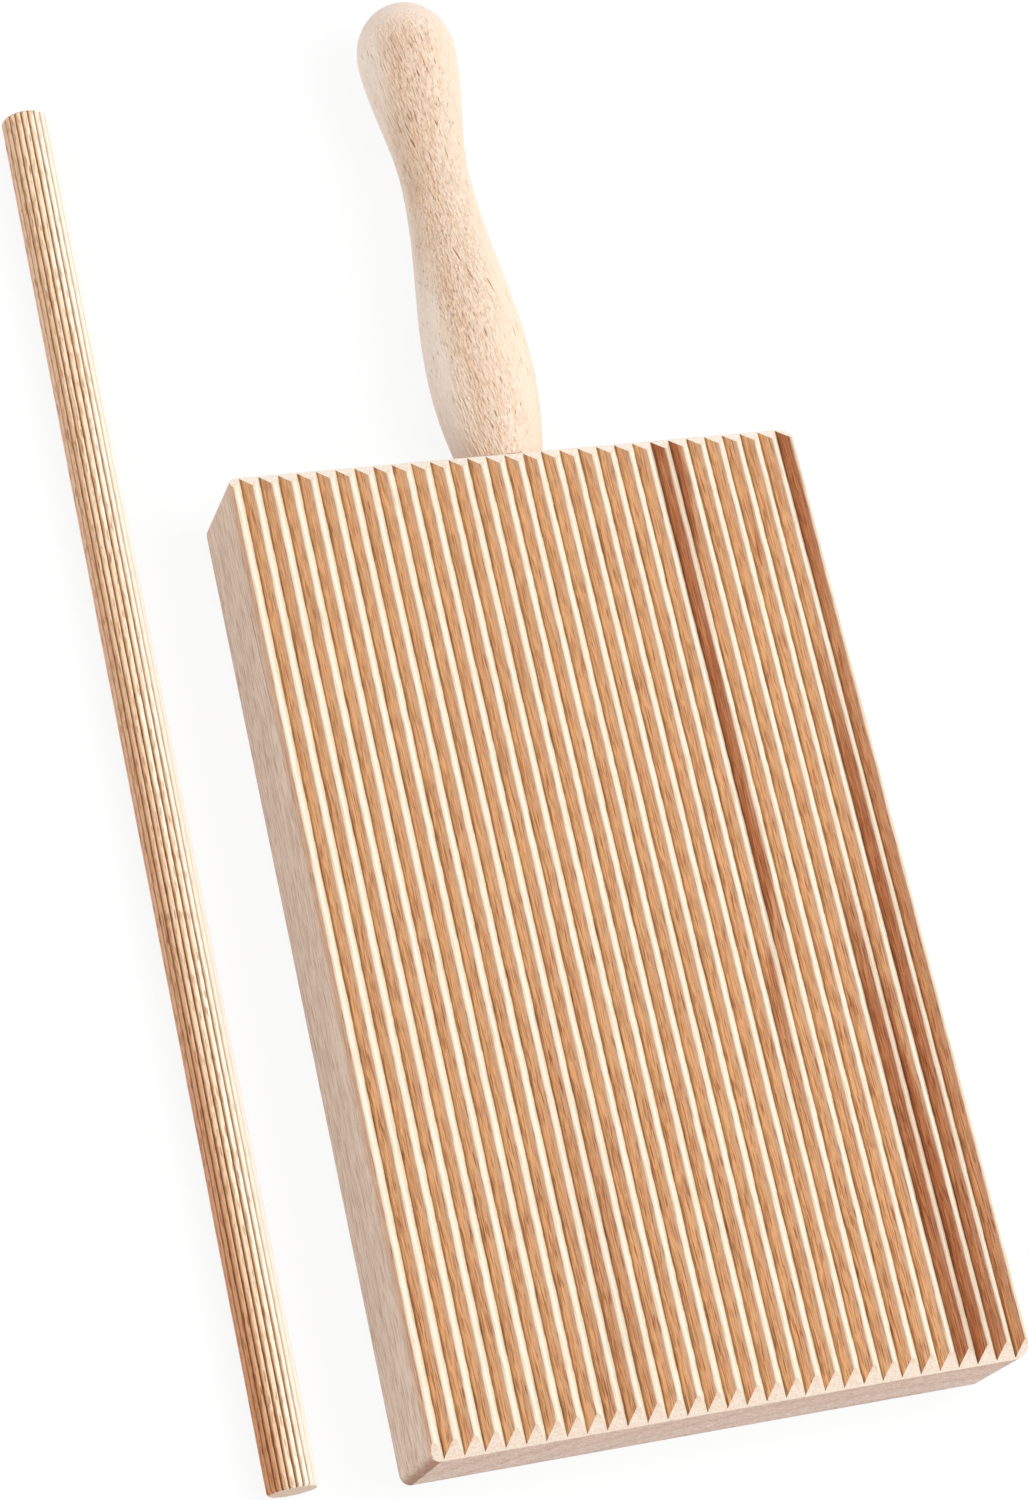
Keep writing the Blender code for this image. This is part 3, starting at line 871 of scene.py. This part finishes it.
def make_blank(sizes):
    """Make the plain block with rounded corners that the grooved block is trimmed to."""
    height = BOARD_THICKNESS + BLANK_HEADROOM
    deselect_all()
    bpy.ops.mesh.primitive_cube_add(size=1)
    blank = name_active("blank")
    edit()
    stretch(BOARD_WIDTH, BOARD_LENGTH, height)
    move(z=height / 2)
    pick("EDGE", lambda edge: abs(edge.verts[0].co.z - edge.verts[1].co.z) > height / 2)
    bpy.ops.mesh.bevel(offset=sizes.corner_radius, segments=CORNER_SEGMENTS, affect="EDGES")
    pick("EDGE", lambda edge: all(vertex.co.z < 0.01 * MM for vertex in edge.verts))
    bpy.ops.mesh.bevel(offset=sizes.lower_edge, segments=LOWER_EDGE_SEGMENTS, affect="EDGES")
    deselect_all()
    return blank


def make_socket_core(sizes):
    """Make the round core that is taken out of the far end for the handle's tenon."""
    depth = TENON_LENGTH + GLUE_GAP
    deselect_all()
    bpy.ops.mesh.primitive_cylinder_add(
        vertices=SOCKET_SIDES, radius=sizes.socket_radius, depth=2 * depth
    )
    core = name_active("socket_core")
    core.rotation_euler = (math.pi / 2, 0, 0)
    core.location = (HANDLE_X, BOARD_LENGTH / 2, HANDLE_Z)
    return core


def give_faces(piece, materials, choose):
    """Give each face the material whose number choose returns for it."""
    for material in materials:
        piece.data.materials.append(material)
    select_only(piece)
    edit()
    for number in range(1, len(materials)):
        pick("FACE", lambda face: choose(face) == number)
        piece.active_material_index = number
        bpy.ops.object.material_slot_assign()
    deselect_all()


def board_finish(face):
    """Return 0 for the ridges, 1 for the ends and 2 for the sides and underside."""
    if abs(face.normal.y) > 0.6:
        return 1
    high_up = face.calc_center_median().z > BOARD_THICKNESS - 3 * MM
    if face.normal.z > 0.3 or high_up and abs(face.normal.x) < 0.95:
        return 0
    return 2


class GARGANELLI_OT_make_board(Operator):
    """Build the ridged board in place of its plain CAD piece"""

    bl_idname = "garganelli.make_board"
    bl_label = "Ridged board"

    def execute(self, context):
        sizes = settings().board
        board = make_ridge_sheet("ridged_board_wood", sizes)
        close_into_block(board, sizes)
        combine(board, make_blank(sizes), "INTERSECT")
        combine(board, make_socket_core(sizes), "DIFFERENCE")
        give_faces(board, [milled_beech(), end_beech(), planed_beech()], board_finish)
        smooth(board, limit=35)
        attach(board, "board")
        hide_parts("ridged_board")
        return {"FINISHED"}


def half_wave(start, end, share):
    """Return a value that swings smoothly from start to end as share runs from 0 to 1."""
    return (start + end) / 2 + (start - end) / 2 * math.cos(math.pi * share)


def handle_radius(sizes, distance):
    """Return the handle's radius at a distance from the board."""
    if distance < sizes.bulge_distance:
        swell = math.sin(math.pi / 2 * distance / sizes.bulge_distance)
        return sizes.foot_radius + (sizes.bulge_radius - sizes.foot_radius) * swell
    if distance < sizes.waist_distance:
        share = (distance - sizes.bulge_distance) / (sizes.waist_distance - sizes.bulge_distance)
        return half_wave(sizes.bulge_radius, sizes.waist_radius, share)
    if distance < sizes.knob_distance:
        share = (distance - sizes.waist_distance) / (sizes.knob_distance - sizes.waist_distance)
        return half_wave(sizes.waist_radius, sizes.knob_radius, share)
    share = (distance - sizes.knob_distance) / (HANDLE_REACH - sizes.knob_distance)
    return sizes.knob_radius * math.sqrt(max(0.0, 1 - share * share))


def handle_rings(sizes):
    """Return (distance from the board, radius) of each ring, from the tenon's end to the knob."""
    rings = [
        (-TENON_LENGTH, sizes.tenon_radius - TENON_CHAMFER),
        (TENON_CHAMFER - TENON_LENGTH, sizes.tenon_radius),
        (GLUE_GAP, sizes.tenon_radius),
    ]
    for step in range(GRIP_RINGS + 1):
        distance = GLUE_GAP + (sizes.knob_distance - GLUE_GAP) * step / GRIP_RINGS
        rings.append((distance, handle_radius(sizes, distance)))
    for step in range(1, KNOB_RINGS):
        share = math.sin(math.pi / 2 * step / KNOB_RINGS)
        distance = sizes.knob_distance + (HANDLE_REACH - sizes.knob_distance) * share
        rings.append((distance, handle_radius(sizes, distance)))
    return rings


class GARGANELLI_OT_make_handle(Operator):
    """Build the turned handle in place of its plain CAD piece"""

    bl_idname = "garganelli.make_handle"
    bl_label = "Turned handle"

    def execute(self, context):
        sizes = settings().handle
        rings = handle_rings(sizes)
        distance, radius = rings[0]
        centre = (HANDLE_X, board_high.y + distance, HANDLE_Z)
        handle = start_rod("handle_wood", HANDLE_SIDES, radius, centre)
        for next_distance, next_radius in rings[1:]:
            extrude(y=next_distance - distance)
            growth = next_radius / radius
            centre = (HANDLE_X, board_high.y + next_distance, HANDLE_Z)
            stretch(growth, 1, growth, centre=centre)
            distance, radius = next_distance, next_radius
        extrude(y=HANDLE_REACH - distance)
        bpy.ops.mesh.merge(type="CENTER")
        bpy.ops.mesh.select_all(action="SELECT")
        bpy.ops.mesh.remove_doubles(threshold=0.001 * MM)
        face_outwards()
        uneven(handle, sizes.unevenness, "NORMAL", across=9 * MM, along=22 * MM)
        handle.data.materials.append(turned_beech())
        smooth(handle, limit=35)
        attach(handle, "board")
        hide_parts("handle")
        return {"FINISHED"}


def flute_disc(sizes, centre):
    """In edit mode, draw the points of the stick's first disc in, to the outline of its ribs."""
    rib_angle = 2 * math.pi / sizes.flute_count
    for step in range(RIB_POINTS):
        share = 2 * step / RIB_POINTS - 1
        radius = STICK_RADIUS - sizes.flute_depth * (1 - math.sqrt(1 - share * share))
        angle = (step / RIB_POINTS - 0.5 + sizes.top_rib_shift) * rib_angle

        def at_this_angle(vertex):
            """Return whether a vertex lies at this step's angle on its own rib."""
            own = math.atan2(vertex.co.x - STICK_X, vertex.co.z - STICK_RADIUS)
            return abs((own - angle + rib_angle / 2) % rib_angle - rib_angle / 2) < 0.01

        pick("VERT", at_this_angle)
        stretch(radius / STICK_RADIUS, 1, radius / STICK_RADIUS, centre=centre)
    bpy.ops.mesh.select_all(action="SELECT")


class GARGANELLI_OT_make_stick(Operator):
    """Build the fluted stick in place of its plain CAD piece"""

    bl_idname = "garganelli.make_stick"
    bl_label = "Fluted stick"

    def execute(self, context):
        sizes = settings().stick
        y = stick_low.y
        centre = (STICK_X, y, STICK_RADIUS)
        stick = start_rod("stick_wood", RIB_POINTS * sizes.flute_count, STICK_RADIUS, centre)
        flute_disc(sizes, centre)
        share = (STICK_RADIUS - sizes.chamfer) / STICK_RADIUS
        stretch(share, 1, share, centre=centre)
        part_length = (STICK_LENGTH - 2 * sizes.chamfer) / STICK_PARTS
        steps = [sizes.chamfer] + [part_length] * STICK_PARTS + [sizes.chamfer]
        for number, step in enumerate(steps):
            extrude(y=step)
            y += step
            if number == 0:
                stretch(1 / share, 1, 1 / share, centre=(STICK_X, y, STICK_RADIUS))
        stretch(share, 1, share, centre=(STICK_X, y, STICK_RADIUS))
        face_outwards()
        uneven(stick, sizes.unevenness, "NORMAL", across=1.6 * MM, along=14 * MM)
        stick.data.materials.append(fluted_beech())
        smooth(stick, limit=28)
        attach(stick, "stick")
        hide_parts("stick")
        return {"FINISHED"}


def add_lamp(name, direction, distance, size, watts):
    """Add a square soft lamp that shines on the board from a direction."""
    deselect_all()
    target = Vector((0, 0.03, 0))
    toward = Vector(direction).normalized()
    bpy.ops.object.light_add(type="AREA", location=target + toward * distance)
    lamp = bpy.context.object
    lamp.name = name
    lamp.rotation_euler = toward.to_track_quat("Z", "Y").to_euler()
    lamp.data.shape = "SQUARE"
    lamp.data.size = size
    lamp.data.energy = watts


def floor_paint():
    """Return a white floor that keeps a faint shadow of what stands on it."""
    material = bpy.data.materials.new("white_floor")
    material.use_nodes = True
    n = Nodes(material.node_tree)
    shader = n.tree.nodes["Principled BSDF"]
    n.feed(shader, {"Base Color": (0.9, 0.9, 0.9, 1.0), "Roughness": 0.9, "Specular IOR Level": 0.0})
    white = n.add("ShaderNodeEmission", {"Color": (1, 1, 1, 1), "Strength": 1.0})
    sockets = {0: n.times(n.seen(), FLOOR_GLOW), 1: shader.outputs[0], 2: white.outputs[0]}
    mixed = n.add("ShaderNodeMixShader", sockets)
    n.feed(n.tree.nodes["Material Output"], {"Surface": mixed.outputs[0]})
    return material


def light_room(strength):
    """Give the world an even light, which the camera sees as white."""
    world = bpy.data.worlds.new("white_room")
    bpy.context.scene.world = world
    world.use_nodes = True
    n = Nodes(world.node_tree)
    level = n.shift(n.seen(), 0.0, 1.0, strength, 1.0)
    n.feed(n.tree.nodes["Background"], {"Color": (1, 1, 1, 1), "Strength": level})


class GARGANELLI_OT_set_stage(Operator):
    """Set up the floor, the lights and the camera"""

    bl_idname = "garganelli.set_stage"
    bl_label = "Floor, lights and camera"

    def execute(self, context):
        stage = settings().stage
        deselect_all()
        bpy.ops.mesh.primitive_plane_add(size=6)
        floor = name_active("floor")
        floor.data.materials.append(floor_paint())
        light_room(stage.room_light)
        add_lamp("key_light", (0.42, -0.08, 0.90), distance=1.1, size=0.45, watts=stage.key_power)
        add_lamp("top_light", (0.05, 0.05, 1.0), distance=1.2, size=0.5, watts=stage.top_power)
        add_lamp("fill_light", (-0.80, -0.45, 0.40), distance=1.5, size=1.0, watts=stage.fill_power)
        deselect_all()
        bpy.ops.object.camera_add(location=stage.camera_place)
        camera = context.object
        camera.name = "camera"
        turn = Euler((math.pi / 2 - stage.elevation, 0, stage.azimuth)).to_matrix()
        camera.rotation_euler = (turn @ Euler((0, 0, stage.roll)).to_matrix()).to_euler()
        camera.data.lens = stage.focal_length
        camera.data.sensor_width = 36
        camera.data.clip_start = 0.01
        camera.data.clip_end = 20
        context.scene.camera = camera
        context.scene.view_settings.view_transform = "Standard"
        deselect_all()
        return {"FINISHED"}


class GARGANELLI_PT_panel(Panel):
    """Sizes, colours and building steps of the garganelli board"""

    bl_label = "Garganelli board"
    bl_space_type = "VIEW_3D"
    bl_region_type = "UI"
    bl_category = "Garganelli"

    def draw(self, context):
        for name in ("board", "handle", "stick", "beech", "stage"):
            group = getattr(context.scene.garganelli, name)
            box = self.layout.box()
            box.label(text=name.capitalize())
            for key in group.__annotations__:
                box.prop(group, key)
        for operator in BUILD_ORDER:
            self.layout.operator(operator.bl_idname)


BUILD_ORDER = (
    GARGANELLI_OT_make_board,
    GARGANELLI_OT_make_handle,
    GARGANELLI_OT_make_stick,
    GARGANELLI_OT_set_stage,
)
CLASSES = (
    BoardSizes,
    HandleSizes,
    StickSizes,
    BeechColours,
    StageSettings,
    GarganelliSettings,
    *BUILD_ORDER,
    GARGANELLI_PT_panel,
)


def register():
    for cls in CLASSES:
        bpy.utils.register_class(cls)
    bpy.types.Scene.garganelli = PointerProperty(type=GarganelliSettings)


def unregister():
    del bpy.types.Scene.garganelli
    for cls in reversed(CLASSES):
        bpy.utils.unregister_class(cls)


def main():
    register()
    bpy.ops.garganelli.make_board()
    bpy.ops.garganelli.make_handle()
    bpy.ops.garganelli.make_stick()
    bpy.ops.garganelli.set_stage()


if __name__ == "__main__":
    main()
